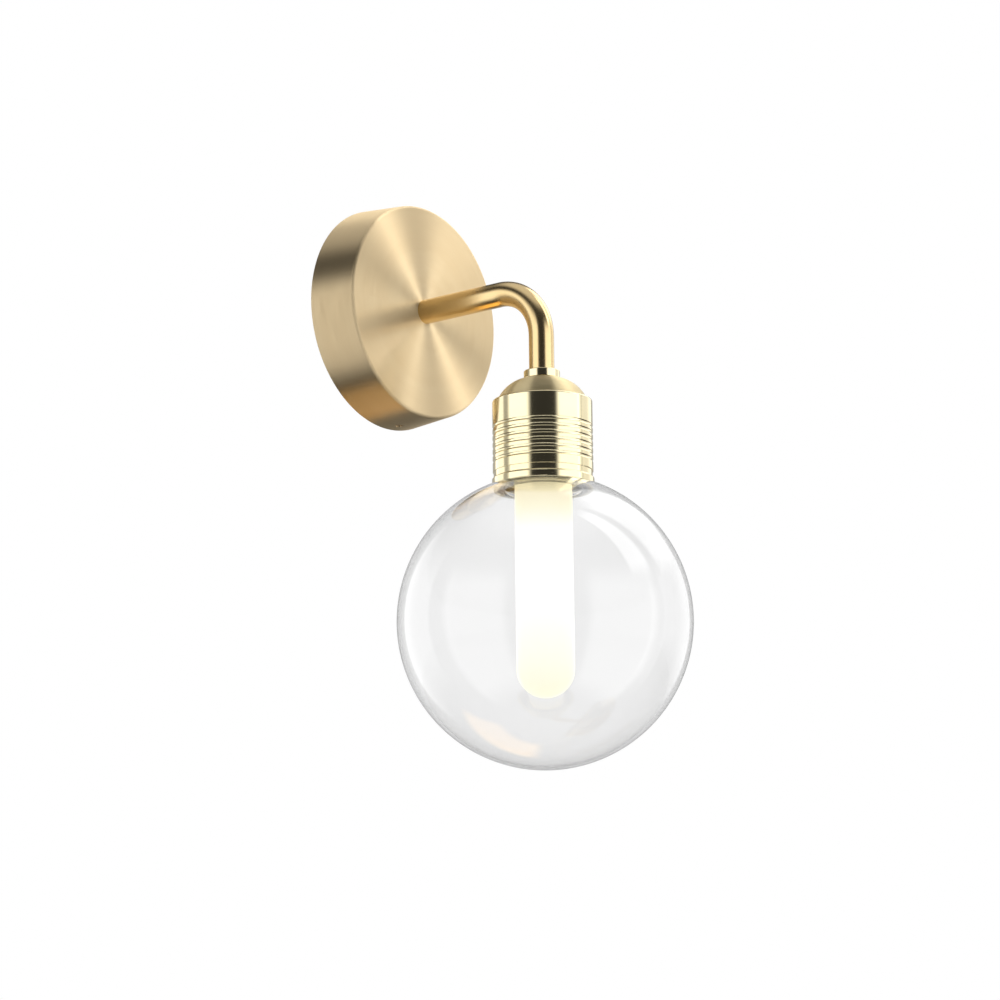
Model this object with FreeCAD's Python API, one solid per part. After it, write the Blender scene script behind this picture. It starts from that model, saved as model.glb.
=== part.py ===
import FreeCAD, Part
import os
from math import cos, pi, sin, sqrt, tan
from FreeCAD import Vector

# Globe wall sconce, in millimetres. The wall is the plane y = 0, -Y points out into
# the room and +Z points up. The origin is the middle of the two wall-screw slots, on
# the axis of the round canopy. The lamp hangs on a vertical axis at y = -reach.

# ---- driving dimensions ---------------------------------------------------------
canopy_back_dia = 120.0       # across the edge that meets the wall
canopy_draft = 2.4            # how far the rim leans in, from wall to face
canopy_depth = 27.5           # wall to face
canopy_wall = 1.2             # spun steel sheet
canopy_edge_round = 1.6       # rounding between rim and face

reach = 106.2                 # wall to lamp axis
arm_dia = 13.0                # outside of the bent tube
arm_wall = 1.5
arm_bend_radius = 27.0        # on the tube's centreline
nipple_dia = 9.9              # M10 fine thread, drawn at its crest
nipple_bore = 7.0
nipple_grip = 14.0            # length screwed into the tube
nipple_past_nut = 2.0

collar_dia = 18.6
collar_height = 4.4
collar_top_z = -45.7          # where the tube ends
collar_edge_round = 0.5
dome_height = 11.4
dome_dia = 46.4               # where it sits on the cup
dome_arc_radius = 18.4        # of the curve from collar to cup
dome_wall = 1.5

cup_dia = 51.4
cup_height = 44.7
cup_plate = 2.0               # thickness of the closed top
cup_bore = 47.2               # lower bore, where the globe's neck turns
cup_upper_bore = 45.2         # above the ledge that the gasket meets
cup_edge_round = 0.9
cup_mouth_chamfer = 0.7
rib_grooves = 6
rib_first = 14.2              # cup top to the first groove
rib_pitch = 3.54
rib_depth = 0.45
rib_width = 1.9
waist_from = 37.4             # cup top to the shallow waist above the bead
waist_height = 3.2
waist_depth = 0.4
waist_round = 0.3
bead_proud = 0.45             # bead at the mouth, beyond the cup's wall
bead_round = 0.7

globe_dia = 150.0
globe_glass = 1.8
globe_seat_dia = 57.4         # where the globe's curve meets its flat shoulder
neck_dia = 44.4
neck_bore = 39.4
neck_height = 12.4
neck_rounding = 1.0
neck_lip_round = 0.8
thread_start = 2.9            # shoulder to the middle of the first ridge
thread_pitch = 3.5            # coarse moulded glass thread
thread_ridges = 3
thread_crest = 0.7            # how far the glass thread stands out of the neck
gasket_thick = 1.4

tube_gasket_thick = 0.7
tube_dia = 29.5               # opal glass tube
tube_glass = 1.8
tube_bottom_drop = 153.2      # cup top to the lowest point of the tube
lip_dia = 33.8                # flared lip at the tube's top
lip_height = 2.6
lip_round = 0.8
ring_dia = 37.6               # brass ring nut under the lip
ring_floor = 2.0
ring_skirt = 8.6
ring_foot_round = 0.8
ring_rim_round = 0.5

sleeve_dia = 34.0             # inner sleeve that the ring screws onto
sleeve_wall = 1.4
sleeve_plate = 1.5
sleeve_height = 30.5
sleeve_round = 1.0

bracket_sheet = 1.0
bracket_strip = 9.0
bracket_span = 27.0           # across the two feet
bracket_leg = 8.0
bracket_foot = 6.5            # each foot turns inwards under the nut
bracket_hub_dia = 18.0        # disc round the nipple

holder_dia = 27.0             # ceramic lampholder
holder_height = 16.0
holder_step = 1.5             # the lower part is this much narrower all round
holder_step_height = 6.0
holder_round = 0.8
holder_floor = 1.5            # ceramic below the contacts
holder_roof = 4.5             # ceramic above the contacts
pocket_from = 0.5             # lamp axis to the pocket of each contact
pocket_past = 2.4             # pocket beyond the pin, and to each side of it
pin_funnel = 0.8              # the way in for a pin is this much wider all round
contact_gap = 9.0             # between the middles of the two pins
pin_dia = 1.8
pin_length = 9.8
holder_screw_spread = 19.6
holder_screw_dia = 2.5
holder_screw_head = (4.6, 1.8)
holder_screw_well = (5.2, 4.0)
leaf_sheet = 0.4              # contact springs
leaf_half_width = 1.3
tab_from = 0.7
bulb_base_size = (14.0, 10.0, 13.5)
bulb_base_round = 1.2
pin_tip_round = 0.6
bulb_dia = 15.0
bulb_length = 45.0

strap_width = 22.0            # steel strap on the wall
strap_sheet = 1.5
ear_depth = 14.0
slot_spacing = 76.0           # between the middles of the wall-screw slots
slot_width = 4.6
slot_length = 10.0
cable_hole_dia = 14.0
side_screw_dia = 4.0
side_screw_length = 8.0
side_screw_sink = 0.3         # how far the screw lies below the rim
side_screw_from_wall = 8.0
block_size = (20.0, 13.0, 18.0)
block_round = 1.2
block_drop = 23.0             # canopy axis to the middle of the terminal block
pole_dia = 5.0
pole_inset = 1.0              # each pole ends this far inside the block
pole_screw_dia = 3.0
pole_screw_length = 4.2
pole_screw_slot = (0.6, 0.8)

earth_rise = 24.0             # canopy axis to the earth screw
earth_screw_head = (8.0, 2.6)
earth_screw_length = 7.0
earth_washer_dia = 9.0
lug_dia = 8.0
lug_tail = 6.0
lug_tail_width = 3.2
wire_dia = 2.0
wire_spread = 2.6             # between the middles of the two supply wires
wire_bend = 4.0
wire_sweep = 5.0              # gentler bend on the way from a pole to the arm
nut_flats = 14.0
nut_height = 4.0
washer_dia = 16.0
washer_thick = 0.8

# ---- clearances -----------------------------------------------------------------
thread_gap = 0.05             # between a thread's crest and its mate, on the radius
seat_gap = 0.3                # between curved or moving faces that nearly meet
hole_gap = 0.15               # clearance hole around a shank, on the radius
pin_gap = 0.05                # between a pin and its contact
past = 1.0                    # how far a cutter or a joined piece runs past a face

# ---- levels that follow from them -------------------------------------------------
collar_bottom_z = collar_top_z - collar_height
cup_top_z = collar_bottom_z - dome_height
cup_bottom_z = cup_top_z - cup_height
shoulder_z = cup_bottom_z - seat_gap
globe_z = shoulder_z - sqrt((globe_dia / 2) ** 2 - (globe_seat_dia / 2) ** 2)
neck_top_z = shoulder_z + neck_height
ledge_z = neck_top_z + gasket_thick + 2 * seat_gap
plate_under_z = cup_top_z - cup_plate
sleeve_under_z = plate_under_z - sleeve_plate
sleeve_bottom_z = plate_under_z - sleeve_height
bracket_under_z = sleeve_under_z - bracket_sheet
lamp_washer_z = bracket_under_z - washer_thick
lamp_nut_z = lamp_washer_z - nut_height
holder_top_z = sleeve_under_z - bracket_leg - 2 * bracket_sheet
holder_bottom_z = holder_top_z - holder_height
lip_top_z = sleeve_bottom_z - tube_gasket_thick
lip_bottom_z = lip_top_z - lip_height
tube_bottom_z = cup_top_z - tube_bottom_drop
bulb_top_z = holder_bottom_z - seat_gap
bulb_base_bottom_z = bulb_top_z - bulb_base_size[2]
nipple_hole_dia = nipple_dia + 2 * hole_gap
arm_bore = arm_dia - 2 * arm_wall
nut_bore = nipple_dia + 4 * thread_gap
face_inside = canopy_depth - canopy_wall
canopy_front_dia = canopy_back_dia - 2 * canopy_draft
contact_top_z = holder_top_z - holder_roof
contact_floor_z = holder_bottom_z + holder_floor
holder_well_z = holder_bottom_z + holder_screw_well[1]
pole_x = block_size[0] / 4
pole_y = -strap_sheet - block_size[1] / 2
sleeve_bore = wire_dia + 2 * hole_gap


# ---- helpers --------------------------------------------------------------------
def rounded_corner(before, corner, after, radius):
    """Entry, middle and exit of the arc that rounds a corner of a flat outline."""
    a = (before - corner).normalize()
    b = (after - corner).normalize()
    half = a.getAngle(b) / 2
    inset = radius / tan(half)
    middle = corner + (a + b).normalize() * (radius / sin(half) - radius)
    return corner + a * inset, middle, corner + b * inset


def outline_edges(corners):
    """Closed outline from (r, h), (r, h, rounding) and (r, h, "via") corners."""
    points = [Vector(c[0], 0, c[1]) for c in corners]
    count = len(corners)
    runs = []
    for i, corner in enumerate(corners):
        mark = corner[2] if len(corner) > 2 else 0
        if mark == "via":
            runs.append(("via", points[i]))
        elif mark:
            entry, middle, leave = rounded_corner(points[i - 1], points[i],
                                                  points[(i + 1) % count], mark)
            runs += [("to", entry), ("via", middle), ("to", leave)]
        else:
            runs.append(("to", points[i]))
    edges = []
    here = runs[0][1]
    pending = None
    for kind, point in runs[1:] + runs[:1]:
        if kind == "via":
            pending = point
            continue
        if pending:
            edges.append(Part.Arc(here, pending, point).toShape())
        elif (point - here).Length > 1e-6:
            edges.append(Part.LineSegment(here, point).toShape())
        here = point
        pending = None
    return edges


def turned(corners):
    """Solid turned about +Z from an outline of radius and height."""
    face = Part.Face(Part.Wire(Part.__sortEdges__(outline_edges(corners))))
    return face.revolve(Vector(0, 0, 0), Vector(0, 0, 1), 360)


def on_lamp_axis(shape):
    """Moves a piece turned about Z to the lamp's axis."""
    return shape.translated(Vector(0, -reach, 0))


def on_canopy_axis(shape):
    """Turns a piece made about Z so that its height runs out from the wall."""
    return shape.rotated(Vector(0, 0, 0), Vector(1, 0, 0), 90)


def ring(outer_dia, inner_dia, low, high):
    return turned([(inner_dia / 2, low), (outer_dia / 2, low),
                   (outer_dia / 2, high), (inner_dia / 2, high)])


def rod(dia, low, high, at=(0.0, 0.0)):
    return Part.makeCylinder(dia / 2, high - low, Vector(at[0], at[1], low))


def box(low, high):
    size = [b - a for a, b in zip(low, high)]
    return Part.makeBox(size[0], size[1], size[2], Vector(*low))


def hexagon(flats, bore, low, high):
    """Hexagon nut with a plain bore at the thread's crest."""
    corner = flats / sqrt(3)
    points = [Vector(corner * cos(i * pi / 3), corner * sin(i * pi / 3), low) for i in range(7)]
    block = Part.Face(Part.makePolygon(points)).extrude(Vector(0, 0, high - low))
    return block.cut(rod(bore, low - past, high + past))


def tube_along(corners, bends, dia):
    """Round bar along straight runs joined by tangent arcs, one radius for each corner."""
    edges = []
    here = corners[0]
    for i, radius in enumerate(bends):
        entry, middle, leave = rounded_corner(corners[i], corners[i + 1], corners[i + 2], radius)
        edges.append(Part.LineSegment(here, entry).toShape())
        edges.append(Part.Arc(entry, middle, leave).toShape())
        here = leave
    edges.append(Part.LineSegment(here, corners[-1]).toShape())
    path = Part.Wire(edges)
    start = Part.Wire(Part.Circle(corners[0], corners[1] - corners[0], dia / 2).toShape())
    return path.makePipeShell([start], True, False)


def screw(shank_dia, head_dia, head_height, length):
    """Pan-head screw, head up, with its head's underside at z = 0 and a straight slot."""
    head = turned([(0, 0), (head_dia / 2, 0), (head_dia / 2, head_height, head_height / 2),
                   (0, head_height)])
    body = head.fuse(rod(shank_dia, -length, 0)).removeSplitter()
    slot_half = head_dia / 12
    slot = box((-head_dia, -slot_half, head_height / 2), (head_dia, slot_half, 2 * head_height))
    return body.cut(slot)


def group(shapes):
    return Part.makeCompound(shapes)


# ---- on the wall ------------------------------------------------------------------
def rim_radius(out):
    """Outer radius of the canopy's drafted rim at a distance out from the wall."""
    return canopy_back_dia / 2 - canopy_draft * out / canopy_depth


ear_corner = rim_radius(ear_depth) - canopy_wall - 2 * seat_gap
ear_face = sqrt(ear_corner ** 2 - (strap_width / 2) ** 2)


def stadium(width, length, low, high):
    """Upright slot cutter, round at both ends."""
    reach_up = (length - width) / 2
    middle = box((-width / 2, -reach_up, low), (width / 2, reach_up, high))
    ends = [rod(width, low, high, (0, side * reach_up)) for side in (-1, 1)]
    return middle.multiFuse(ends)


def make_wall_bracket():
    strap = box((-strap_width / 2, -ear_face, 0), (strap_width / 2, ear_face, strap_sheet))
    for side in (-1, 1):
        near, far = sorted((side * (ear_face - strap_sheet), side * ear_face))
        strap = strap.fuse(box((-strap_width / 2, near, 0), (strap_width / 2, far, ear_depth)))
    strap = strap.removeSplitter()
    holes = [rod(cable_hole_dia, -past, strap_sheet + past)]
    for side in (-1, 1):
        slot = stadium(slot_width, slot_length, -past, strap_sheet + past)
        holes.append(slot.translated(Vector(0, side * slot_spacing / 2, 0)))
    holes.append(rod(side_screw_dia + 2 * thread_gap, -past, strap_sheet + past, (0, earth_rise)))
    for side in (-1, 1):
        hole = rod(side_screw_dia + 2 * thread_gap, 0, 2 * side_screw_length)
        hole = hole.rotated(Vector(0, 0, 0), Vector(1, 0, 0), -90 * side)
        start = side * (ear_face - side_screw_length)
        holes.append(hole.translated(Vector(0, start, side_screw_from_wall)))
    return on_canopy_axis(strap.cut(group(holes)))


def make_canopy():
    front = canopy_front_dia / 2
    back = canopy_back_dia / 2
    inner_round = canopy_edge_round / 2
    shell = turned([(nipple_hole_dia / 2, face_inside), (front - canopy_wall, face_inside, inner_round),
                    (back - canopy_wall, 0), (back, 0),
                    (front, canopy_depth, canopy_edge_round),
                    (nipple_hole_dia / 2, canopy_depth)])
    hole = rod(side_screw_dia + 2 * hole_gap, -canopy_back_dia, canopy_back_dia)
    hole = hole.rotated(Vector(0, 0, 0), Vector(1, 0, 0), 90)
    shell = shell.cut(hole.translated(Vector(0, 0, side_screw_from_wall)))
    return on_canopy_axis(shell)


def make_side_screws():
    top = rim_radius(side_screw_from_wall) - side_screw_sink
    slot_half = side_screw_dia / 12
    shapes = []
    for side in (1, -1):
        grub = rod(side_screw_dia, top - side_screw_length, top)
        grub = grub.cut(box((-side_screw_dia, -slot_half, top - past),
                            (side_screw_dia, slot_half, top + past)))
        grub = grub.translated(Vector(0, -side_screw_from_wall, 0))
        shapes.append(grub if side > 0 else grub.rotated(Vector(0, 0, 0), Vector(0, 1, 0), 180))
    return group(shapes)


def out_from_strap(shape):
    """Puts a piece made about Z on the strap's face at the earth screw."""
    return on_canopy_axis(shape).translated(Vector(0, -strap_sheet, earth_rise))


def make_earth_washer():
    return out_from_strap(ring(earth_washer_dia, side_screw_dia + 2 * hole_gap, 0, washer_thick))


def make_earth_lug():
    plate = ring(lug_dia, side_screw_dia + 2 * hole_gap, washer_thick, 2 * washer_thick)
    tail = box((-lug_tail_width / 2, -lug_dia / 2 - lug_tail, washer_thick),
               (lug_tail_width / 2, -lug_dia / 2 + past, 2 * washer_thick))
    return out_from_strap(plate.fuse(tail).removeSplitter())


def make_earth_screw():
    body = screw(side_screw_dia, *earth_screw_head, earth_screw_length)
    return out_from_strap(body.translated(Vector(0, 0, 2 * washer_thick)))


def pole_screw_levels():
    return [-block_drop - block_size[2] / 4, -block_drop + block_size[2] / 4]


def pole_screw_well(side, z, gap):
    """Round cutter for a terminal screw, from the pole's axis out into the room."""
    return Part.makeCylinder(pole_screw_dia / 2 + gap, block_size[1],
                             Vector(side * pole_x, pole_y, z), Vector(0, -1, 0))


def make_terminal_block():
    low = (-block_size[0] / 2, -strap_sheet - block_size[1], -block_drop - block_size[2] / 2)
    high = [a + b for a, b in zip(low, block_size)]
    block = box(low, high)
    upright = [e for e in block.Edges if abs(e.tangentAt(e.FirstParameter).y) > 0.9]
    block = block.makeFillet(block_round, upright)
    for side in (-1, 1):
        block = block.cut(rod(pole_dia, low[2] - past, high[2] + past, (side * pole_x, pole_y)))
        for z in pole_screw_levels():
            block = block.cut(pole_screw_well(side, z, hole_gap))
    return block


def make_terminal_poles():
    poles = []
    low = -block_drop - block_size[2] / 2 + pole_inset
    high = -block_drop + block_size[2] / 2 - pole_inset
    for side in (-1, 1):
        pole = rod(pole_dia - 2 * thread_gap, low, high, (side * pole_x, pole_y))
        pole = pole.cut(rod(sleeve_bore, low - past, high + past, (side * pole_x, pole_y)))
        for z in pole_screw_levels():
            pole = pole.cut(pole_screw_well(side, z, thread_gap))
        poles.append(pole)
    return group(poles)


def make_terminal_screws():
    shapes = []
    start = pole_y - wire_dia / 2 - thread_gap
    end = start - pole_screw_length
    slot_half = pole_screw_slot[0] / 2
    for side in (-1, 1):
        x = side * pole_x
        for z in pole_screw_levels():
            pin = Part.makeCylinder(pole_screw_dia / 2, pole_screw_length, Vector(x, start, z),
                                    Vector(0, -1, 0))
            slot = box((x - pole_screw_dia, end - past, z - slot_half),
                       (x + pole_screw_dia, end + pole_screw_slot[1], z + slot_half))
            shapes.append(pin.cut(slot))
    return group(shapes)


# ---- arm ----------------------------------------------------------------------------
def arm_route(start_y, end_z, x=0.0):
    return [Vector(x, start_y, 0), Vector(x, -reach, 0), Vector(x, -reach, end_z)]


def make_arm_tube():
    route = arm_route(-canopy_depth, collar_top_z)
    outside = tube_along(route, [arm_bend_radius], arm_dia)
    inside = tube_along(route, [arm_bend_radius], arm_bore)
    return outside.cut(inside)


def make_arm_nipple():
    low = face_inside - 2 * washer_thick - nut_height - nipple_past_nut
    return on_canopy_axis(ring(nipple_dia, nipple_bore, low, canopy_depth + nipple_grip))


def make_arm_lock_washer():
    return on_canopy_axis(ring(washer_dia, nipple_hole_dia, face_inside - washer_thick, face_inside))


def make_arm_earth_lug():
    high = face_inside - washer_thick
    plate = ring(washer_dia, nipple_hole_dia, high - washer_thick, high)
    tail = box((-lug_tail_width / 2, washer_dia / 2 - past, high - washer_thick),
               (lug_tail_width / 2, washer_dia / 2 + lug_tail, high))
    return on_canopy_axis(plate.fuse(tail).removeSplitter())


def make_arm_nut():
    top = face_inside - 2 * washer_thick
    return on_canopy_axis(hexagon(nut_flats, nut_bore, top - nut_height, top))


# ---- head ---------------------------------------------------------------------------
def make_lamp_nipple():
    low = lamp_nut_z - nipple_past_nut
    return on_lamp_axis(ring(nipple_dia, nipple_bore, low, collar_top_z + nipple_grip))


def make_collar():
    half = collar_dia / 2
    return on_lamp_axis(turned([(nipple_hole_dia / 2, collar_bottom_z),
                                (half, collar_bottom_z, collar_edge_round),
                                (half, collar_top_z, collar_edge_round),
                                (nipple_hole_dia / 2, collar_top_z)]))


def dome_side(inset):
    """Half outline of the dome from rim to flat top, inset by a wall's thickness."""
    foot = Vector(dome_dia / 2, 0, cup_top_z)
    head = Vector(collar_dia / 2, 0, collar_bottom_z)
    across = foot - head
    outwards = Vector(-across.z, 0, across.x).normalize()
    centre = (foot + head) / 2 - outwards * sqrt(dome_arc_radius ** 2 - (across.Length / 2) ** 2)
    top_z = collar_bottom_z - inset
    levels = [cup_top_z, (cup_top_z + top_z) / 2, top_z]
    radii = [centre.x + sqrt((dome_arc_radius - inset) ** 2 - (z - centre.z) ** 2) for z in levels]
    return [(radii[0], levels[0]), (radii[1], levels[1], "via"), (radii[2], levels[2]),
            (nipple_hole_dia / 2, top_z)]


def make_dome_cap():
    return on_lamp_axis(turned(dome_side(0) + dome_side(dome_wall)[::-1]))


def cup_side():
    """Outer side of the cup from its top edge down: grooves, waist and bead."""
    wall = cup_dia / 2
    side = [(wall, cup_top_z, cup_edge_round)]
    for i in range(rib_grooves):
        z = cup_top_z - rib_first - i * rib_pitch
        side += [(wall, z + rib_width / 2), (wall - rib_depth, z, "via"), (wall, z - rib_width / 2)]
    waist_z = cup_top_z - waist_from
    waist_end = waist_z - waist_height
    bead = wall + bead_proud
    side += [(wall, waist_z, waist_round), (wall - waist_depth, waist_z, waist_round / 2),
             (wall - waist_depth, waist_end, waist_round), (bead, waist_end, bead_round),
             (bead, cup_bottom_z, bead_round)]
    return side


def make_ribbed_cup():
    bore = cup_bore / 2
    inside = [(bore + cup_mouth_chamfer, cup_bottom_z), (bore, cup_bottom_z + cup_mouth_chamfer),
              (bore, ledge_z), (cup_upper_bore / 2, ledge_z),
              (cup_upper_bore / 2, plate_under_z, cup_edge_round), (nipple_hole_dia / 2, plate_under_z)]
    return on_lamp_axis(turned([(nipple_hole_dia / 2, cup_top_z)] + cup_side() + inside))


def make_lamp_lock_washer():
    return on_lamp_axis(ring(washer_dia, nipple_hole_dia, lamp_washer_z, bracket_under_z))


def make_lamp_nut():
    return on_lamp_axis(hexagon(nut_flats, nut_bore, lamp_nut_z, lamp_washer_z))


def make_holder_sleeve():
    outer = sleeve_dia / 2
    inner = outer - sleeve_wall
    return on_lamp_axis(turned([(nipple_hole_dia / 2, plate_under_z), (outer, plate_under_z, sleeve_round),
                                (outer, sleeve_bottom_z), (inner, sleeve_bottom_z),
                                (inner, sleeve_under_z, sleeve_round / 2),
                                (nipple_hole_dia / 2, sleeve_under_z)]))


def make_holder_bracket():
    half = bracket_span / 2
    deep = bracket_strip / 2
    foot_z = holder_top_z + bracket_sheet
    bar = box((-half, -deep, bracket_under_z), (half, deep, sleeve_under_z))
    for side in (-1, 1):
        near, far = sorted((side * (half - bracket_sheet), side * half))
        bar = bar.fuse(box((near, -deep, holder_top_z), (far, deep, sleeve_under_z)))
        near, far = sorted((side * (half - bracket_foot), side * half))
        bar = bar.fuse(box((near, -deep, holder_top_z), (far, deep, foot_z)))
    bar = bar.fuse(rod(bracket_hub_dia, bracket_under_z, sleeve_under_z)).removeSplitter()
    bar = bar.cut(rod(nipple_hole_dia, bracket_under_z - past, sleeve_under_z + past))
    for side in (-1, 1):
        bar = bar.cut(rod(holder_screw_dia + 2 * thread_gap, holder_top_z - past, foot_z + past,
                          (side * holder_screw_spread / 2, 0)))
    return on_lamp_axis(bar)


def make_lampholder():
    half = holder_dia / 2
    step_z = holder_bottom_z + holder_step_height
    body = turned([(0, holder_bottom_z), (half - holder_step, holder_bottom_z, holder_round),
                   (half - holder_step, step_z), (half, step_z),
                   (half, holder_top_z, holder_round), (0, holder_top_z)])
    below = holder_bottom_z - past
    above = holder_top_z + past
    pocket_end = contact_gap / 2 + pocket_past
    cuts = []
    for side in (-1, 1):
        screw_at = (side * holder_screw_spread / 2, 0)
        cuts.append(rod(holder_screw_dia + 2 * hole_gap, below, above, screw_at))
        cuts.append(rod(holder_screw_well[0], below, holder_well_z, screw_at))
        near, far = sorted((side * pocket_from, side * pocket_end))
        cuts.append(box((near, -pocket_past, contact_floor_z), (far, pocket_past, contact_top_z)))
        cuts.append(rod(pin_dia + 2 * pin_funnel, below, contact_floor_z + past,
                        (side * contact_gap / 2, 0)))
        cuts.append(rod(wire_dia + 2 * thread_gap, contact_top_z - past, above,
                        (side * wire_spread / 2, 0)))
    return on_lamp_axis(body.cut(group(cuts)))


def make_holder_screws():
    shapes = []
    length = holder_top_z + 2 * bracket_sheet - holder_well_z
    for side in (-1, 1):
        pin = screw(holder_screw_dia, *holder_screw_head, length)
        pin = pin.rotated(Vector(0, 0, 0), Vector(1, 0, 0), 180)
        shapes.append(pin.translated(Vector(side * holder_screw_spread / 2, 0, holder_well_z)))
    return on_lamp_axis(group(shapes))


def make_contact_springs():
    shapes = []
    pin_half = pin_dia / 2 + pin_gap
    for side in (-1, 1):
        middle = side * contact_gap / 2
        near, far = sorted((side * tab_from, middle + side * leaf_half_width))
        tab = box((near, -pin_half - leaf_sheet, contact_top_z - leaf_sheet),
                  (far, pin_half + leaf_sheet, contact_top_z))
        for face in (-1, 1):
            low, high = sorted((face * pin_half, face * (pin_half + leaf_sheet)))
            leaf = box((middle - leaf_half_width, low, contact_floor_z),
                       (middle + leaf_half_width, high, contact_top_z))
            tab = tab.fuse(leaf)
        shapes.append(tab.removeSplitter())
    return on_lamp_axis(group(shapes))


# ---- opal tube ----------------------------------------------------------------------
def make_tube_gasket():
    return on_lamp_axis(ring(lip_dia, tube_dia - 2 * tube_glass, lip_top_z, sleeve_bottom_z))


def make_opal_tube():
    outer = tube_dia / 2
    inner = outer - tube_glass
    centre_z = tube_bottom_z + outer
    bend = sin(pi / 4)
    return on_lamp_axis(turned([(inner, lip_top_z), (lip_dia / 2, lip_top_z, lip_round),
                                (lip_dia / 2, lip_bottom_z, lip_round),
                                (outer, lip_bottom_z, lip_round / 2),
                                (outer, centre_z), (outer * bend, centre_z - outer * bend, "via"),
                                (0, tube_bottom_z), (0, tube_bottom_z + tube_glass),
                                (inner * bend, centre_z - inner * bend, "via"),
                                (inner, centre_z)]))


def make_tube_ring():
    outer = ring_dia / 2
    floor_z = lip_bottom_z - ring_floor
    top_z = floor_z + ring_floor + ring_skirt
    bore = max(sleeve_dia, lip_dia) / 2 + thread_gap
    mouth = tube_dia / 2 + 2 * seat_gap
    return on_lamp_axis(turned([(mouth, floor_z), (outer, floor_z, ring_foot_round),
                                (outer, top_z, ring_rim_round), (bore, top_z),
                                (bore, lip_bottom_z), (mouth, lip_bottom_z)]))


# ---- globe --------------------------------------------------------------------------
def make_globe_gasket():
    low = neck_top_z + seat_gap
    return on_lamp_axis(ring(cup_bore - 2 * seat_gap, neck_bore + 2 * seat_gap, low, low + gasket_thick))


def sphere_side(radius, height):
    """Distance from the axis where a globe surface reaches a height above its centre."""
    return sqrt(radius ** 2 - height ** 2)


def make_globe():
    outer = globe_dia / 2
    inner = outer - globe_glass
    neck = neck_dia / 2
    shoulder_under_z = shoulder_z - globe_glass
    inner_edge = sphere_side(inner, shoulder_under_z - globe_z)
    outside = [(0, globe_z - outer), (outer, globe_z, "via"), (globe_seat_dia / 2, shoulder_z),
               (neck, shoulder_z, neck_rounding)]
    crest_half = thread_pitch / 4
    for i in range(thread_ridges):
        z = shoulder_z + thread_start + i * thread_pitch
        outside += [(neck, z - crest_half), (neck + thread_crest, z, "via"), (neck, z + crest_half)]
    inside = [(neck, neck_top_z, neck_lip_round), (neck_bore / 2, neck_top_z, neck_lip_round),
              (neck_bore / 2, shoulder_under_z, neck_rounding), (inner_edge, shoulder_under_z),
              (inner, globe_z, "via"), (0, globe_z - inner)]
    return on_lamp_axis(turned(outside + inside))


# ---- bulb ---------------------------------------------------------------------------
def make_bulb_base():
    wide, deep, tall = bulb_base_size
    block = box((-wide / 2, -deep / 2, bulb_base_bottom_z), (wide / 2, deep / 2, bulb_top_z))
    upright = [e for e in block.Edges if abs(e.tangentAt(e.FirstParameter).z) > 0.9]
    return on_lamp_axis(block.makeFillet(bulb_base_round, upright))


def make_bulb_pins():
    shapes = []
    for side in (-1, 1):
        pin = turned([(0, bulb_top_z), (pin_dia / 2, bulb_top_z),
                      (pin_dia / 2, bulb_top_z + pin_length, pin_tip_round),
                      (0, bulb_top_z + pin_length)])
        shapes.append(pin.translated(Vector(side * contact_gap / 2, 0, 0)))
    return on_lamp_axis(group(shapes))


def make_bulb_capsule():
    radius = bulb_dia / 2
    end_z = bulb_base_bottom_z - bulb_length
    centre_z = end_z + radius
    bend = sin(pi / 4)
    return on_lamp_axis(turned([(0, bulb_base_bottom_z), (radius, bulb_base_bottom_z), (radius, centre_z),
                                (radius * bend, centre_z - radius * bend, "via"), (0, end_z)]))


# ---- wires --------------------------------------------------------------------------
def make_supply_wire(side):
    """One supply wire from its terminal, through the arm, to its contact in the holder."""
    block_top = -block_drop + block_size[2] / 2
    pole_end = block_top - block_size[2] / 3
    pole = side * pole_x
    bore = side * wire_spread / 2
    route = [Vector(pole, pole_y, pole_end), Vector(pole, pole_y, block_top + past),
             Vector(bore, pole_y, -wire_bend), Vector(bore, pole_y - wire_bend, 0),
             Vector(bore, -reach, 0), Vector(bore, -reach, contact_top_z)]
    return tube_along(route, [wire_bend, wire_sweep, wire_sweep, arm_bend_radius], wire_dia)


def make_earth_wire():
    """Bonding wire in the canopy, from the lug on the strap to the lug under the arm's nut."""
    strap_y = -strap_sheet - 2 * washer_thick - wire_dia / 2
    arm_y = -face_inside + 2 * washer_thick + wire_dia / 2
    level = nut_flats / sqrt(3) + wire_dia / 2 + seat_gap
    route = [Vector(0, strap_y, earth_rise - lug_dia / 2), Vector(0, strap_y, level),
             Vector(0, arm_y, level), Vector(0, arm_y, washer_dia / 2 + lug_tail)]
    return tube_along(route, [wire_bend, wire_bend], wire_dia)


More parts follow.
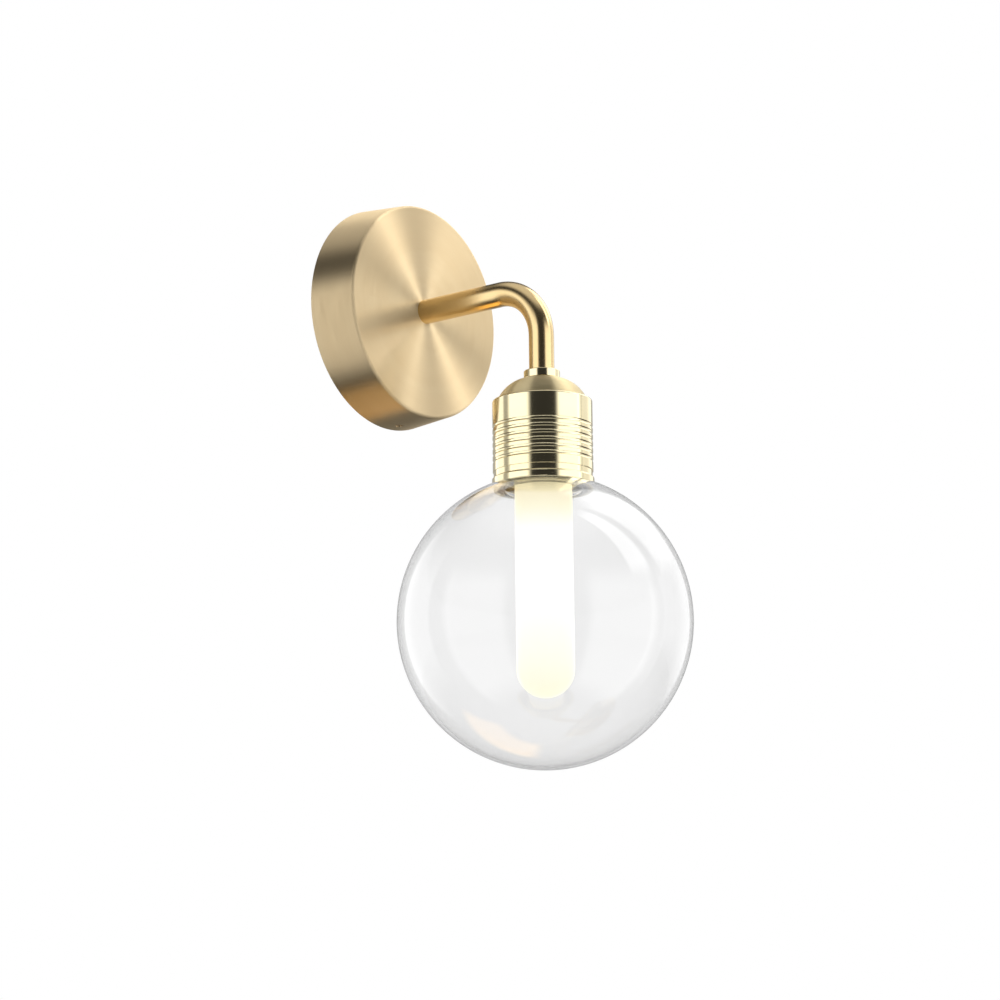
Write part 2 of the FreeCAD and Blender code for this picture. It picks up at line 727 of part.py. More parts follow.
nodes = {
    "wall_bracket": make_wall_bracket,
    "canopy": make_canopy,
    "canopy_screws": make_side_screws,
    "earth_screw": make_earth_screw,
    "earth_washer": make_earth_washer,
    "earth_lug": make_earth_lug,
    "terminal_block": make_terminal_block,
    "terminal_poles": make_terminal_poles,
    "terminal_screws": make_terminal_screws,
    "arm_tube": make_arm_tube,
    "arm_nipple": make_arm_nipple,
    "arm_lock_washer": make_arm_lock_washer,
    "arm_earth_lug": make_arm_earth_lug,
    "arm_nut": make_arm_nut,
    "lamp_nipple": make_lamp_nipple,
    "lamp_collar": make_collar,
    "dome_cap": make_dome_cap,
    "ribbed_cup": make_ribbed_cup,
    "lamp_lock_washer": make_lamp_lock_washer,
    "lamp_nut": make_lamp_nut,
    "holder_sleeve": make_holder_sleeve,
    "holder_bracket": make_holder_bracket,
    "lampholder": make_lampholder,
    "holder_screws": make_holder_screws,
    "contact_springs": make_contact_springs,
    "tube_gasket": make_tube_gasket,
    "opal_tube": make_opal_tube,
    "tube_ring": make_tube_ring,
    "globe_gasket": make_globe_gasket,
    "globe": make_globe,
    "bulb_base": make_bulb_base,
    "bulb_pins": make_bulb_pins,
    "bulb_capsule": make_bulb_capsule,
    "live_wire": lambda: make_supply_wire(1),
    "neutral_wire": lambda: make_supply_wire(-1),
    "earth_wire": make_earth_wire,
}

os.makedirs("parts", exist_ok=True)
for name, make in nodes.items():
    shape = make()
    shape.exportStep("parts/" + name + ".step")
    print(name, len(shape.Solids), "solids", round(shape.Volume, 1), "mm3", shape.isValid())
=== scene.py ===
# %% [markdown]
# # A globe wall sconce, dressed for its portrait
# The lamp is a round brass canopy on the wall, a bent tube, and a ribbed brass cup that
# holds a clear glass globe with a glowing opal tube inside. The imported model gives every
# piece its place and size. Here each piece gets the finish that its real surface has, and
# the globe gets a finer mesh, because clear glass shows every facet.

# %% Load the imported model
import bpy
from math import atan2, cos, degrees, pi, radians, sin, sqrt
from mathutils import Matrix, Vector


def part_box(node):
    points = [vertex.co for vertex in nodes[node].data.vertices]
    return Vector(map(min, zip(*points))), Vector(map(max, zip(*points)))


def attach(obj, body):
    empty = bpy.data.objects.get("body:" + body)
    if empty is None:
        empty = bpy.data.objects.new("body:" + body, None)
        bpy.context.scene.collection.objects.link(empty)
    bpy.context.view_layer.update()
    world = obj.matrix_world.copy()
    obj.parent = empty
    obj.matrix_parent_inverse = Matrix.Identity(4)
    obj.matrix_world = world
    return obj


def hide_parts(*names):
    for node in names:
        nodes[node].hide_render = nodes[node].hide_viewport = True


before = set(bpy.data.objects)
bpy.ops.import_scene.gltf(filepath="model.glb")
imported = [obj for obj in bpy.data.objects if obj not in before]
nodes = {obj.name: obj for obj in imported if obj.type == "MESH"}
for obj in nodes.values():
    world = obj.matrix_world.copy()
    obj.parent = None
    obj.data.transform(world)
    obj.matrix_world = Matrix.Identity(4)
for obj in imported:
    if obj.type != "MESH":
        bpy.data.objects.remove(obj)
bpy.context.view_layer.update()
MM = 0.001
print("pieces in the frame:", len(nodes))

# %% [markdown]
# ## The camera
# The portrait looks up a little from the lamp's left. The angles, distance and lens come
# from matching the canopy's two edges, the arm, the cup's grooves and the globe's outline
# in the photograph. The view has a long lens, so upright lines stay nearly parallel.

# %% Directions of the camera
VIEW_AZIMUTH = radians(-50.54)
VIEW_ELEVATION = radians(-11.44)
VIEW_ROLL = radians(-0.59)
UPWARDS = Vector((0, 0, 1))


def camera_axes():
    """Right, up and back directions of the camera."""
    back = Vector((sin(VIEW_AZIMUTH) * cos(VIEW_ELEVATION),
                   -cos(VIEW_AZIMUTH) * cos(VIEW_ELEVATION), sin(VIEW_ELEVATION)))
    right = (-back).cross(UPWARDS).normalized()
    up = right.cross(-back)
    return (right * cos(VIEW_ROLL) + up * sin(VIEW_ROLL),
            up * cos(VIEW_ROLL) - right * sin(VIEW_ROLL), back)


view_right, view_up, view_back = camera_axes()
print("the camera looks from", [round(v, 3) for v in view_back])

# %% Camera
VIEW_DISTANCE = 1.5
VIEW_TARGET = Vector((0, -90 * MM, -60 * MM))
SHIFT_RIGHT = -9.15 * MM
SHIFT_UP = -49.98 * MM
SENSOR_MM = 36.0
FOCAL_IN_WIDTHS = 2.90342

camera_data = bpy.data.cameras.new("portrait_camera")
camera_data.sensor_width = SENSOR_MM
camera_data.lens = FOCAL_IN_WIDTHS * SENSOR_MM
camera = bpy.data.objects.new("portrait_camera", camera_data)
bpy.context.scene.collection.objects.link(camera)
stand = VIEW_TARGET + view_back * VIEW_DISTANCE + view_right * SHIFT_RIGHT + view_up * SHIFT_UP
facing = Matrix((view_right, view_up, view_back)).transposed()
camera.matrix_world = Matrix.Translation(stand) @ facing.to_4x4()
bpy.context.scene.camera = camera
bpy.context.scene.view_settings.view_transform = "Standard"
print("camera at", [round(v, 3) for v in stand], "lens", round(camera_data.lens, 1), "mm")

# %% [markdown]
# ## Colours and nodes
# Colours are written as sRGB hex values, as a paint chart gives them. The renderer works
# with linear light, so one function turns each into that. A second small function adds
# a shader node with its settings, its values and its links.

# %% Colour and node helpers
def linear(hex_code):
    """sRGB hex colour as linear RGBA."""
    parts = [int(hex_code[i:i + 2], 16) / 255 for i in (1, 3, 5)]
    return [p / 12.92 if p <= 0.04045 else ((p + 0.055) / 1.055) ** 2.4 for p in parts] + [1.0]


def add(tree, kind, values=None, links=None, **settings):
    """Adds a node, sets its properties and socket values, and links sockets into it."""
    made = tree.nodes.new(kind)
    for name, value in settings.items():
        setattr(made, name, value)
    for name, value in (values or {}).items():
        made.inputs[name].default_value = value
    for name, socket in (links or {}).items():
        tree.links.new(socket, made.inputs[name])
    return made


print("mid grey #808080 is", round(linear("#808080")[0], 3), "in linear light")

# %% [markdown]
# ## The studio
# Polished brass has hardly a colour of its own to show: it shows the room. So the room is
# what is modelled here, as a panorama of soft boxes round the lamp, with a dark gap where
# the camera stands. A soft box is a fabric-fronted lamp, bright in its middle and dimmer
# at its rim, so each one is a smooth patch of light at a bearing from the camera and a
# rise above the horizon. One small box is warm and stands low, for the golden strip under
# the canopy's rim. Every surface is lit by that panorama. Only the camera and what shows
# through clear glass see plain white instead.

# %% Soft boxes of the studio
# Bearing right of the camera, half width, edge, lowest and highest rise, edge, brightness.
SOFT_BOXES = [
    (-58, 20, 12, -45, 16, 22, 1.6),
    (-121, 17, 5, -8, 16, 30, 1.4),
    (64, 24, 12, -45, 16, 22, 1.65),
    (127, 20, 5, 0, 20, 18, 1.0),
    (87, 9, 5, 34, 64, 12, 2.8),
    (134, 20, 8, 34, 60, 14, 2.2),
    (-90, 9, 3, -20, 16, 26, 0.42),
    (97, 7, 3, -20, 16, 26, 0.75),
    (180, 40, 20, -8, 16, 30, 0.45),
    (0, 181, 1, 68, 90, 22, 0.80),
]
WARM_BOX = (-148, 22, 10, -58, -44, 7, 1.8)


def level_direction(bearing):
    """Level direction at a bearing in degrees, to the right of the camera's own."""
    camera_side = Vector((view_back.x, view_back.y, 0)).normalized()
    return Matrix.Rotation(radians(bearing), 3, "Z") @ camera_side


def patch(tree, value, low, high, edge):
    """One between low and high, in degrees, falling to zero over the edge outside them."""
    rise = add(tree, "ShaderNodeMapRange", interpolation_type="SMOOTHSTEP", links={"Value": value},
               values={"From Min": radians(low - edge), "From Max": radians(low)})
    fall = add(tree, "ShaderNodeMapRange", interpolation_type="SMOOTHSTEP", links={"Value": value},
               values={"From Min": radians(high), "From Max": radians(high + edge),
                       "To Min": 1.0, "To Max": 0.0})
    return add(tree, "ShaderNodeMath", operation="MULTIPLY",
               links={0: rise.outputs[0], 1: fall.outputs[0]}).outputs[0]


def soft_box(tree, direction, rise, box):
    """Brightness of one soft box in a direction and at its rise."""
    bearing, half, edge, low, high, soft, light = box
    # The turn is measured from the box's own middle, so that no box is cut at the seam.
    ahead = add(tree, "ShaderNodeVectorMath", operation="DOT_PRODUCT", links={0: direction},
                values={1: level_direction(bearing)})
    aside = add(tree, "ShaderNodeVectorMath", operation="DOT_PRODUCT", links={0: direction},
                values={1: level_direction(bearing + 90)})
    turn = add(tree, "ShaderNodeMath", operation="ARCTAN2",
               links={0: aside.outputs["Value"], 1: ahead.outputs["Value"]})
    shape = add(tree, "ShaderNodeMath", operation="MULTIPLY",
                links={0: patch(tree, turn.outputs[0], -half, half, edge),
                       1: patch(tree, rise, low, high, soft)})
    return add(tree, "ShaderNodeMath", operation="MULTIPLY", values={1: light},
               links={0: shape.outputs[0]}).outputs[0]


print(len(SOFT_BOXES), "soft boxes, the brightest at", max(box[-1] for box in SOFT_BOXES))

# %% The panorama
ROOM_LIGHT = 0.035
BACKGROUND_WHITE = 1.0
WHITE_TONE = "#FFFFFF"
WARM_TONE = "#FFC766"

world = bpy.data.worlds.new("studio")
bpy.context.scene.world = world
world.use_nodes = True
sky = world.node_tree
sky.nodes.clear()
look = add(sky, "ShaderNodeTexCoord").outputs["Generated"]
look_parts = add(sky, "ShaderNodeSeparateXYZ", links={0: look})
look_rise = add(sky, "ShaderNodeMath", operation="ARCSINE", links={0: look_parts.outputs["Z"]}).outputs[0]
room = add(sky, "ShaderNodeMath", operation="ADD", values={0: ROOM_LIGHT, 1: 0.0})
for box in SOFT_BOXES:
    room = add(sky, "ShaderNodeMath", operation="ADD",
               links={0: soft_box(sky, look, look_rise, box), 1: room.outputs[0]})
room_lit = add(sky, "ShaderNodeBackground", values={"Color": linear(WHITE_TONE)},
               links={"Strength": room.outputs[0]})
warm_lit = add(sky, "ShaderNodeBackground", values={"Color": linear(WARM_TONE)},
               links={"Strength": soft_box(sky, look, look_rise, WARM_BOX)})
studio = add(sky, "ShaderNodeAddShader", links={0: room_lit.outputs[0], 1: warm_lit.outputs[0]})
print("panorama of", len(SOFT_BOXES) + 1, "boxes over a room light of", ROOM_LIGHT)

# %% The white background
plain = add(sky, "ShaderNodeBackground",
            values={"Color": linear(WHITE_TONE), "Strength": BACKGROUND_WHITE})
ray = add(sky, "ShaderNodeLightPath")
straight = add(sky, "ShaderNodeMath", operation="MAXIMUM",
               links={0: ray.outputs["Is Camera Ray"], 1: ray.outputs["Is Transmission Ray"]})
seen = add(sky, "ShaderNodeMixShader",
           links={0: straight.outputs[0], 1: studio.outputs[0], 2: plain.outputs[0]})
add(sky, "ShaderNodeOutputWorld", links={"Surface": seen.outputs[0]})
print("world has", len(sky.nodes), "nodes")

# %% [markdown]
# Two large soft lamps stand where the panorama shows its soft boxes, so that matt pieces
# and the floor get a direction of light. They are kept out of reflections and out of the
# glass, where the panorama already shows them.

# %% Lamps
LAMP_SIZE = 0.9
LAMP_DISTANCE = 1.6


def soft_lamp(name, bearing, rise, watts):
    """Square lamp at a bearing right of the camera and a rise, aimed at the fitting."""
    towards = level_direction(bearing) * cos(radians(rise)) + UPWARDS * sin(radians(rise))
    data = bpy.data.lights.new(name, "AREA")
    data.energy = watts
    data.size = LAMP_SIZE
    lamp = bpy.data.objects.new(name, data)
    lamp.location = VIEW_TARGET + towards * LAMP_DISTANCE
    lamp.rotation_mode = "QUATERNION"
    lamp.rotation_quaternion = (-towards).to_track_quat("-Z", "Y")
    lamp.visible_glossy = False
    lamp.visible_transmission = False
    bpy.context.scene.collection.objects.link(lamp)
    print(name, "at", [round(v, 2) for v in lamp.location], "with", watts, "W")


soft_lamp("key_lamp", bearing=60, rise=30, watts=9)
soft_lamp("fill_lamp", bearing=-65, rise=25, watts=6)

# %% [markdown]
# A pale floor lies well below the lamp. It is painted with matt white studio paint, which
# gives the eye an even tone with no shine, and takes the lamp's soft shadow.

# %% Floor
FLOOR_Z = -0.75
FLOOR_REACH = 2.5


def new_material(name):
    """Empty material, returned with its node tree."""
    material = bpy.data.materials.new(name)
    material.use_nodes = True
    material.node_tree.nodes.clear()
    return material, material.node_tree


paint, paint_tree = new_material("matt white studio paint")
matt = add(paint_tree, "ShaderNodeBsdfPrincipled", values={"Base Color": linear("#F4F4F3"), "Roughness": 0.9})
add(paint_tree, "ShaderNodeOutputMaterial", links={"Surface": matt.outputs[0]})
corners = [(x * FLOOR_REACH, y * FLOOR_REACH, FLOOR_Z) for x, y in ((-1, -1), (1, -1), (1, 1), (-1, 1))]
floor_mesh = bpy.data.meshes.new("floor")
floor_mesh.from_pydata(corners, [], [(0, 1, 2, 3)])
floor_mesh.materials.append(paint)
floor = bpy.data.objects.new("floor", floor_mesh)
floor.visible_glossy = False
bpy.context.scene.collection.objects.link(floor)

# %% [markdown]
# ## The lamp's axis
# The lamp hangs on an upright axis in front of the wall. The cup is round, so the middle
# of its box is on that axis, and every turned piece below is worked out from there.

# %% Find the lamp's axis
cup_low, cup_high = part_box("ribbed_cup")
lamp_axis = Vector(((cup_low.x + cup_high.x) / 2, (cup_low.y + cup_high.y) / 2, 0))
print("lamp axis at y =", round(lamp_axis.y / MM, 1), "mm")

# %% [markdown]
# ## Brass
# Brass is copper and zinc. Its colour comes from the metal itself, so the shader is fully
# metallic with the default IOR. What changes from piece to piece is how it was worked, so
# one finish is made for all of it: fine tool marks that run round an axis, a broad drift
# of tone, and light that smears across the marks.

# %% Worked brass
# Real brush marks are about 0.05 mm apart. They are drawn at 0.3 to 0.5 mm, so that they show.
MARK_DEPTH = 0.02 * MM
MARK_DRIFT = 1.2 * MM        # how far the pattern moves on in one radian; small keeps marks long
MARK_DETAIL = 3.0
TONE_DRIFT = 14 * MM
TONE_DETAIL = 2.0
SMOOTHEST = 0.8              # share of the roughness between the marks
ROUGHEST = 1.25              # share of the roughness in the marks
QUARTER_TURN = 0.25          # turns the smear from along the marks to across them


def worked_brass(name, tone, shade, roughness, grain_mm, bite, smear, axis, centre):
    """Brass with fine tool marks that run round an axis; light smears across the marks."""
    material, tree = new_material(name)
    place = add(tree, "ShaderNodeTexCoord").outputs["Object"]
    moved = add(tree, "ShaderNodeVectorMath", operation="SUBTRACT", values={1: centre}, links={0: place})
    parts = add(tree, "ShaderNodeSeparateXYZ", links={0: moved.outputs[0]}).outputs
    along, flat_a, flat_b = {"Y": ("Y", "X", "Z"), "Z": ("Z", "X", "Y")}[axis]
    flat = add(tree, "ShaderNodeCombineXYZ", links={0: parts[flat_a], 1: parts[flat_b]})
    radius = add(tree, "ShaderNodeVectorMath", operation="LENGTH", links={0: flat.outputs[0]})
    turn = add(tree, "ShaderNodeMath", operation="ARCTAN2", links={0: parts[flat_b], 1: parts[flat_a]})
    slow = add(tree, "ShaderNodeMath", operation="MULTIPLY", values={1: MARK_DRIFT},
               links={0: turn.outputs[0]})
    marks = add(tree, "ShaderNodeCombineXYZ",
                links={0: radius.outputs["Value"], 1: parts[along], 2: slow.outputs[0]})
    lines = add(tree, "ShaderNodeTexNoise", links={"Vector": marks.outputs[0]},
                values={"Scale": 1 / (grain_mm * MM), "Detail": MARK_DETAIL})
    broad = add(tree, "ShaderNodeTexNoise", links={"Vector": marks.outputs[0]},
                values={"Scale": 1 / TONE_DRIFT, "Detail": TONE_DETAIL})
    colour = add(tree, "ShaderNodeMix", data_type="RGBA", links={0: broad.outputs[0]},
                 values={6: linear(tone), 7: linear(shade)})
    wear = add(tree, "ShaderNodeMapRange", links={"Value": lines.outputs[0]},
               values={"To Min": roughness * SMOOTHEST, "To Max": roughness * ROUGHEST})
    dents = add(tree, "ShaderNodeBump", links={"Height": lines.outputs[0]},
                values={"Strength": bite, "Distance": MARK_DEPTH})
    tangent = add(tree, "ShaderNodeTangent", direction_type="RADIAL", axis=axis)
    shader = add(tree, "ShaderNodeBsdfPrincipled",
                 values={"Metallic": 1.0, "Anisotropic": smear, "Anisotropic Rotation": QUARTER_TURN},
                 links={"Base Color": colour.outputs[2], "Roughness": wear.outputs[0],
                        "Normal": dents.outputs[0], "Tangent": tangent.outputs[0]})
    add(tree, "ShaderNodeOutputMaterial", links={"Surface": shader.outputs[0]})
    return material


def dress(names, material):
    """Gives CAD pieces a material in place of the one they came with."""
    for name in names:
        mesh = nodes[name].data
        mesh.materials.clear()
        mesh.materials.append(material)
    print(material.name, "on", ", ".join(names))


# %% [markdown]
# The canopy was brushed on a spinning mandrel, so its scratches are fine circles, and the
# light spreads from its middle in a bright fan. The arm was drawn through a die and wiped
# with a fine pad: an even satin sheen that follows the bend.

# %% Canopy and arm
canopy_brass = worked_brass("circular brushed brass", tone="#EBD6AE", shade="#E3CA9F", roughness=0.42,
                            grain_mm=0.35, bite=0.25, smear=1.0, axis="Y", centre=(0, 0, 0))
dress(["canopy", "canopy_screws"], canopy_brass)
arm_brass = worked_brass("drawn satin brass", tone="#E6CD9C", shade="#DCC08B", roughness=0.22,
                         grain_mm=0.5, bite=0.08, smear=0.0, axis="Z", centre=tuple(lamp_axis))
dress(["arm_tube"], arm_brass)

# %% [markdown]
# The cup, its collar and the rings inside were turned and polished: pale and almost a
# mirror, with hard upright stripes of light and dark. The dome was left as turned with a
# fine feed, which gives the eye a soft glow with one dark band.

# %% Cup and dome
cup_brass = worked_brass("turned polished brass", tone="#EFE3BE", shade="#E8DAB0", roughness=0.14,
                         grain_mm=0.3, bite=0.02, smear=0.25, axis="Z", centre=tuple(lamp_axis))
dress(["lamp_collar", "ribbed_cup", "holder_sleeve", "tube_ring"], cup_brass)
dome_brass = worked_brass("turned satin brass", tone="#E6D6AC", shade="#DDCB9E", roughness=0.46,
                          grain_mm=0.3, bite=0.10, smear=1.0, axis="Z", centre=tuple(lamp_axis))
dress(["dome_cap"], dome_brass)

# %% [markdown]
# ## Hidden fittings
# Behind the canopy and inside the cup sit the plain working parts. They show in the back
# view, so each gets its own surface: two close tones that drift into each other, and a
# grain of the size that its making leaves.

# %% Plain workshop finish
GRAIN_DETAIL = 4.0
GRAIN_BITE = 0.1
GRAIN_DEPTH = 0.03 * MM
GRAIN_ROUGHEST = 1.2


def fitting_material(name, tone, shade, grain_mm, roughness, metallic=0.0, ior=None, coat=0.0):
    """Plain workshop material with a cloudy tone and a fine grain."""
    material, tree = new_material(name)
    place = add(tree, "ShaderNodeTexCoord").outputs["Object"]
    grain = add(tree, "ShaderNodeTexNoise", links={"Vector": place},
                values={"Scale": 1 / (grain_mm * MM), "Detail": GRAIN_DETAIL})
    colour = add(tree, "ShaderNodeMix", data_type="RGBA", links={0: grain.outputs[0]},
                 values={6: linear(tone), 7: linear(shade)})
    rough = add(tree, "ShaderNodeMapRange", links={"Value": grain.outputs[0]},
                values={"To Min": roughness * SMOOTHEST, "To Max": roughness * GRAIN_ROUGHEST})
    dents = add(tree, "ShaderNodeBump", links={"Height": grain.outputs[0]},
                values={"Strength": GRAIN_BITE, "Distance": GRAIN_DEPTH})
    shader = add(tree, "ShaderNodeBsdfPrincipled", values={"Metallic": metallic, "Coat Weight": coat},
                 links={"Base Color": colour.outputs[2], "Roughness": rough.outputs[0],
                        "Normal": dents.outputs[0]})
    if ior:
        shader.inputs["IOR"].default_value = ior
    add(tree, "ShaderNodeOutputMaterial", links={"Surface": shader.outputs[0]})
    return material


# %% [markdown]
# Zinc plating gives steel a bluish grey film, clouded every few millimetres. Nickel is
# warmer and brighter. The brass screws, lugs and poles came off a lathe and stay yellow.

# %% Metal fittings
zinc_steel = fitting_material("zinc plated steel", tone="#C4C7C9", shade="#AEB3B8",
                              grain_mm=3.0, roughness=0.32, metallic=1.0)
dress(["wall_bracket", "arm_nipple", "lamp_nipple", "arm_lock_washer", "lamp_lock_washer",
       "arm_nut", "lamp_nut", "holder_bracket", "holder_screws"], zinc_steel)
nickel_steel = fitting_material("nickel plated steel", tone="#CFCBC2", shade="#BDB8AD",
                                grain_mm=1.0, roughness=0.22, metallic=1.0)
dress(["contact_springs", "bulb_pins"], nickel_steel)
machined_brass = fitting_material("machined brass", tone="#D9B765", shade="#C9A350",
                                  grain_mm=1.0, roughness=0.28, metallic=1.0)
dress(["earth_screw", "earth_washer", "earth_lug", "arm_earth_lug", "terminal_poles",
       "terminal_screws"], machined_brass)

# %% [markdown]
# The lampholder is steatite, a fired ceramic, and its glaze is a thin clear coat with a
# wet shine. The terminal block is moulded polyamide, off-white with a dull gloss. The
# gaskets are moulded silicone rubber, milky and matt.

# %% Ceramic, polyamide and rubber
ceramic = fitting_material("glazed steatite ceramic", tone="#F1EEE6", shade="#E7E2D6",
                           grain_mm=2.5, roughness=0.25, ior=1.6, coat=0.5)
dress(["lampholder", "bulb_base"], ceramic)
polyamide = fitting_material("moulded polyamide", tone="#EDECE6", shade="#E2E0D8",
                             grain_mm=0.8, roughness=0.45, ior=1.53)
dress(["terminal_block"], polyamide)
rubber = fitting_material("moulded silicone rubber", tone="#E4E2DC", shade="#D8D5CD",
                          grain_mm=0.6, roughness=0.6, ior=1.41)
dress(["tube_gasket", "globe_gasket"], rubber)

# %% [markdown]
# The wires have extruded silicone sleeves, slightly shiny: brown for live, blue for
# neutral, green and yellow for earth.

# %% Wires
SLEEVE_TONES = {"live": ("#6B3F26", "#5C341E"), "neutral": ("#2F5FA8", "#274F92"),
                "earth": ("#7FA32C", "#C9C13A")}
for use, (tone, shade) in SLEEVE_TONES.items():
    sleeve = fitting_material(use + " silicone sleeve", tone, shade, grain_mm=2.0, roughness=0.4, ior=1.45)
    dress([use + "_wire"], sleeve)

# %% [markdown]
# ## Opal glass, lit from inside
# The inner tube is white flashed opal glass: it scatters the bulb's light so well that the
# whole tube glows. Its glow is painted along its height: warm at the top, next to the brass,
# white along the bulb, and creamy at the round end. A soft satin gloss stays on the surface.
# Its own tone is set low, so that the studio's light and the glow together come out white.

# %% Glass that glows
GLASS_IOR = 1.52


def glowing_glass(name, tone, span, stops, strength, roughness):
    """White glass that glows, with a colour that changes from the foot of its span to the top."""
    material, tree = new_material(name)
    place = add(tree, "ShaderNodeTexCoord").outputs["Object"]
    parts = add(tree, "ShaderNodeSeparateXYZ", links={0: place})
    height = add(tree, "ShaderNodeMapRange", links={"Value": parts.outputs["Z"]},
                 values={"From Min": span[0], "From Max": span[1]})
    glow = add(tree, "ShaderNodeValToRGB", links={"Fac": height.outputs[0]})
    elements = glow.color_ramp.elements
    while len(elements) < len(stops):
        elements.new(1.0)
    for element, (position, colour) in zip(elements, stops):
        element.position = position
        element.color = linear(colour)
    shader = add(tree, "ShaderNodeBsdfPrincipled", links={"Emission Color": glow.outputs[0]},
                 values={"Base Color": linear(tone), "Emission Strength": strength,
                         "Roughness": roughness, "IOR": GLASS_IOR})
    add(tree, "ShaderNodeOutputMaterial", links={"Surface": shader.outputs[0]})
    return material


def height_span(name):
    """Lowest and highest z of a CAD piece."""
    low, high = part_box(name)
    return low.z, high.z


# %% Opal tube and bulb
# The glow's colours are painted by height: warm at the top next to the brass, white along the bulb, creamy at
# the round end.
opal = glowing_glass("flashed opal glass", tone="#8E8B84", span=height_span("opal_tube"),
                     stops=[(0.0, "#FDFBDC"), (0.18, "#FFFEF0"), (0.35, "#FFFFFF"), (0.70, "#FFFFFF"),
                            (0.79, "#FFF9DA"), (0.87, "#FDF0C2"), (1.0, "#FFE7A4")],
                     strength=0.94, roughness=0.35)
dress(["opal_tube"], opal)
capsule = glowing_glass("frosted bulb glass", tone="#F6F3EA", span=height_span("bulb_capsule"),
                        stops=[(0.0, "#FFE9BE"), (0.5, "#FFF4DA"), (1.0, "#FFE2A8")],
                        strength=2.0, roughness=0.4)
dress(["bulb_capsule"], capsule)

# %% [markdown]
# ## The clear globe
# The globe is blown soda-lime glass, about two millimetres thick, with a moulded screw
# thread on its neck. Clear glass needs a closed wall with an outside and an inside, and
# a smooth mesh, because each facet would bend the light. So its outline is worked out from
# arcs and turned round the axis, and the thread is a ridge that climbs as it goes round.

# %% Sizes of the globe
GLASS_WALL = 1.8 * MM
GLASS_CORNER = 1.2 * MM
NECK_RADIUS = 22.2 * MM
NECK_BORE = 19.7 * MM
NECK_HEIGHT = 12.4 * MM
INSET = 0.02 * MM

globe_low, globe_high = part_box("globe")
half_width = (globe_high.x - globe_low.x) / 2
middle_z = globe_low.z + half_width
neck_top = globe_high.z
shoulder = neck_top - NECK_HEIGHT
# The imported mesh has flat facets, so its box is a little narrower than the round glass.
# The true radius is a whole number of millimetres, less a hair that keeps the mesh in the box.
globe_radius = round(half_width / MM) * MM - INSET
print("globe radius", round(globe_radius / MM, 2), "mm")

# %% Outline of the glass
SPHERE_STEPS = 120
FILLET_STEPS = 6
LIP_STEPS = 5
NECK_ROWS = 64


def arc(centre, radius, start, end, steps):
    """Points (r, z) along an arc, angles in degrees from outwards, up."""
    turn = [radians(start + (end - start) * i / steps) for i in range(steps + 1)]
    return [(centre[0] + radius * cos(t), centre[1] + radius * sin(t)) for t in turn]


def globe_outline():
    """Outline of the glass wall from the outer bottom, over the neck, to the inner bottom."""
    inside = globe_radius - GLASS_WALL
    under = shoulder - GLASS_WALL
    seat = sqrt(globe_radius ** 2 - (shoulder - middle_z) ** 2)
    seat_inside = sqrt(inside ** 2 - (under - middle_z) ** 2)
    top = degrees(atan2(shoulder - middle_z, seat))
    top_inside = degrees(atan2(under - middle_z, seat_inside))
    low = shoulder + GLASS_CORNER
    high = neck_top - GLASS_CORNER
    points = arc((0, middle_z), globe_radius, -90, top, SPHERE_STEPS)
    points += arc((NECK_RADIUS + GLASS_CORNER, low), GLASS_CORNER, -90, -180, FILLET_STEPS)
    points += [(NECK_RADIUS, low + (high - low) * i / NECK_ROWS) for i in range(1, NECK_ROWS)]
    points += arc((NECK_RADIUS - GLASS_CORNER, high), GLASS_CORNER, 0, 90, LIP_STEPS)
    points += arc((NECK_BORE + GLASS_CORNER, high), GLASS_CORNER, 90, 180, LIP_STEPS)
    points += arc((NECK_BORE + GLASS_CORNER, under + GLASS_CORNER), GLASS_CORNER, 180, 270, FILLET_STEPS)
    points += arc((0, middle_z), inside, top_inside, -90, SPHERE_STEPS)
    return points


glass_points = globe_outline()
print("outline of", len(glass_points), "points")

# %% [markdown]
# The thread is moulded, so it is round-backed and fades in and out. At a given height and
# angle, its ridge depends only on how many turns the thread has made by there.

# %% Thread of the neck
THREAD_PITCH = 3.5 * MM
THREAD_CREST = 0.7 * MM
THREAD_START = 1.6 * MM
THREAD_TURNS = 2.4
THREAD_FADE = 3              # fades over a third of a turn
THREAD_BACK = 0.8            # below one is rounder than a plain wave


def thread_ridge(angle, z):
    """How far the moulded thread stands out of the neck at an angle and a height."""
    turns = (z - shoulder - THREAD_START) / THREAD_PITCH
    phase = (turns - angle / (2 * pi)) % 1.0
    ridge = max(0.0, cos(2 * pi * (phase - 0.5))) ** THREAD_BACK
    fade = min(1.0, max(0.0, turns * THREAD_FADE), max(0.0, (THREAD_TURNS - turns) * THREAD_FADE))
    return THREAD_CREST * ridge * fade


print("thread of", THREAD_TURNS, "turns at", THREAD_PITCH / MM, "mm pitch")

# %% [markdown]
# Turning the outline is what a lathe does: each point becomes a ring, and each pair of
# rings a band of four-sided faces. The two ends of the outline lie on the axis, where a
# ring would shrink to nothing, so there a single point closes the band with triangles.

# %% Turn the outline into glass
TURN_STEPS = 192
TINY = 0.01 * MM


def ring_points(r, z):
    """Points of the ring that one outline point makes; one point if it is on the axis."""
    if r < TINY:
        return [(lamp_axis.x, lamp_axis.y, z)]
    on_neck = abs(r - NECK_RADIUS) < TINY
    ring = []
    for i in range(TURN_STEPS):
        angle = 2 * pi * i / TURN_STEPS
        wide = r + thread_ridge(angle, z) if on_neck else r
        ring.append((lamp_axis.x + wide * cos(angle), lamp_axis.y + wide * sin(angle), z))
    return ring


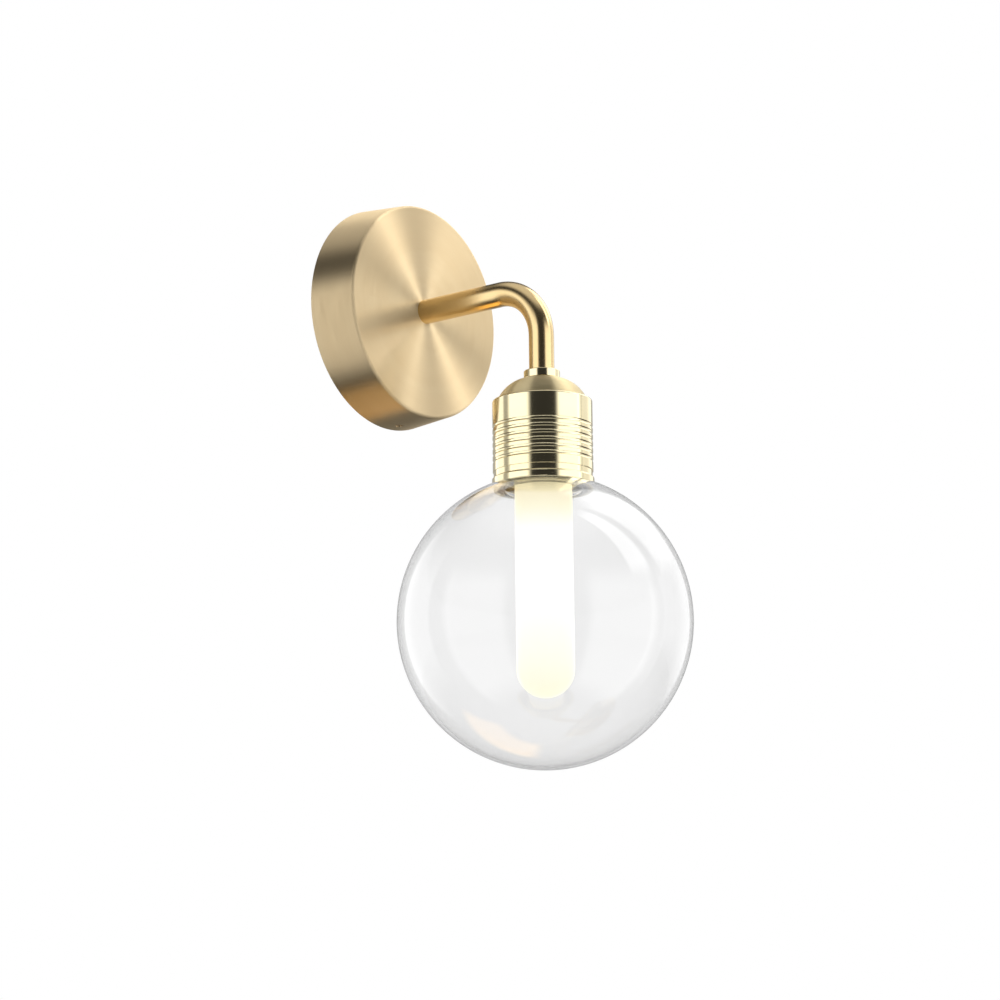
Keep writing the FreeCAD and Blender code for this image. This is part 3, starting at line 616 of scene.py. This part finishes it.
def band_faces(below, above):
    """Faces between two rings of point numbers; a ring of one point is a pole."""
    faces = []
    for i in range(TURN_STEPS):
        j = (i + 1) % TURN_STEPS
        if len(below) == 1:
            faces.append((below[0], above[j], above[i]))
        elif len(above) == 1:
            faces.append((below[i], below[j], above[0]))
        else:
            faces.append((below[i], below[j], above[j], above[i]))
    return faces


verts, faces, rings = [], [], []
for r, z in glass_points:
    made = ring_points(r, z)
    rings.append(range(len(verts), len(verts) + len(made)))
    verts += made
for below, above in zip(rings, rings[1:]):
    faces += band_faces(below, above)
globe_mesh = bpy.data.meshes.new("blown_globe")
globe_mesh.from_pydata(verts, [], faces)
globe_mesh.validate()
globe_mesh.polygons.foreach_set("use_smooth", [True] * len(globe_mesh.polygons))
globe = bpy.data.objects.new("blown_globe", globe_mesh)
bpy.context.scene.collection.objects.link(globe)
print("blown_globe", len(verts), "points", len(faces), "faces")

# %% [markdown]
# Blown soda-lime glass is clear and smooth, with slow waves of a few centimetres that
# bend what shows through it, and it turns slightly grey where light travels far inside.

# %% Clear glass
WAVE_LENGTH = 38 * MM
WAVE_DEPTH = 0.2 * MM
WAVE_BITE = 0.12

clear_glass, glass_tree = new_material("blown soda lime glass")
glass_place = add(glass_tree, "ShaderNodeTexCoord").outputs["Object"]
waves = add(glass_tree, "ShaderNodeTexNoise", links={"Vector": glass_place},
            values={"Scale": 1 / WAVE_LENGTH, "Detail": 1.0})
ripple = add(glass_tree, "ShaderNodeBump", links={"Height": waves.outputs[0]},
             values={"Strength": WAVE_BITE, "Distance": WAVE_DEPTH})
skin = add(glass_tree, "ShaderNodeBsdfGlass", links={"Normal": ripple.outputs[0]},
           values={"Color": linear("#FCFCFC"), "Roughness": 0.0, "IOR": GLASS_IOR})
body = add(glass_tree, "ShaderNodeVolumeAbsorption", values={"Color": linear("#C9CFD2"), "Density": 1.0})
add(glass_tree, "ShaderNodeOutputMaterial", links={"Surface": skin.outputs[0], "Volume": body.outputs[0]})
globe.data.materials.append(clear_glass)
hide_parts("globe")
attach(globe, "globe")
print(clear_glass.name, "on", globe.name)
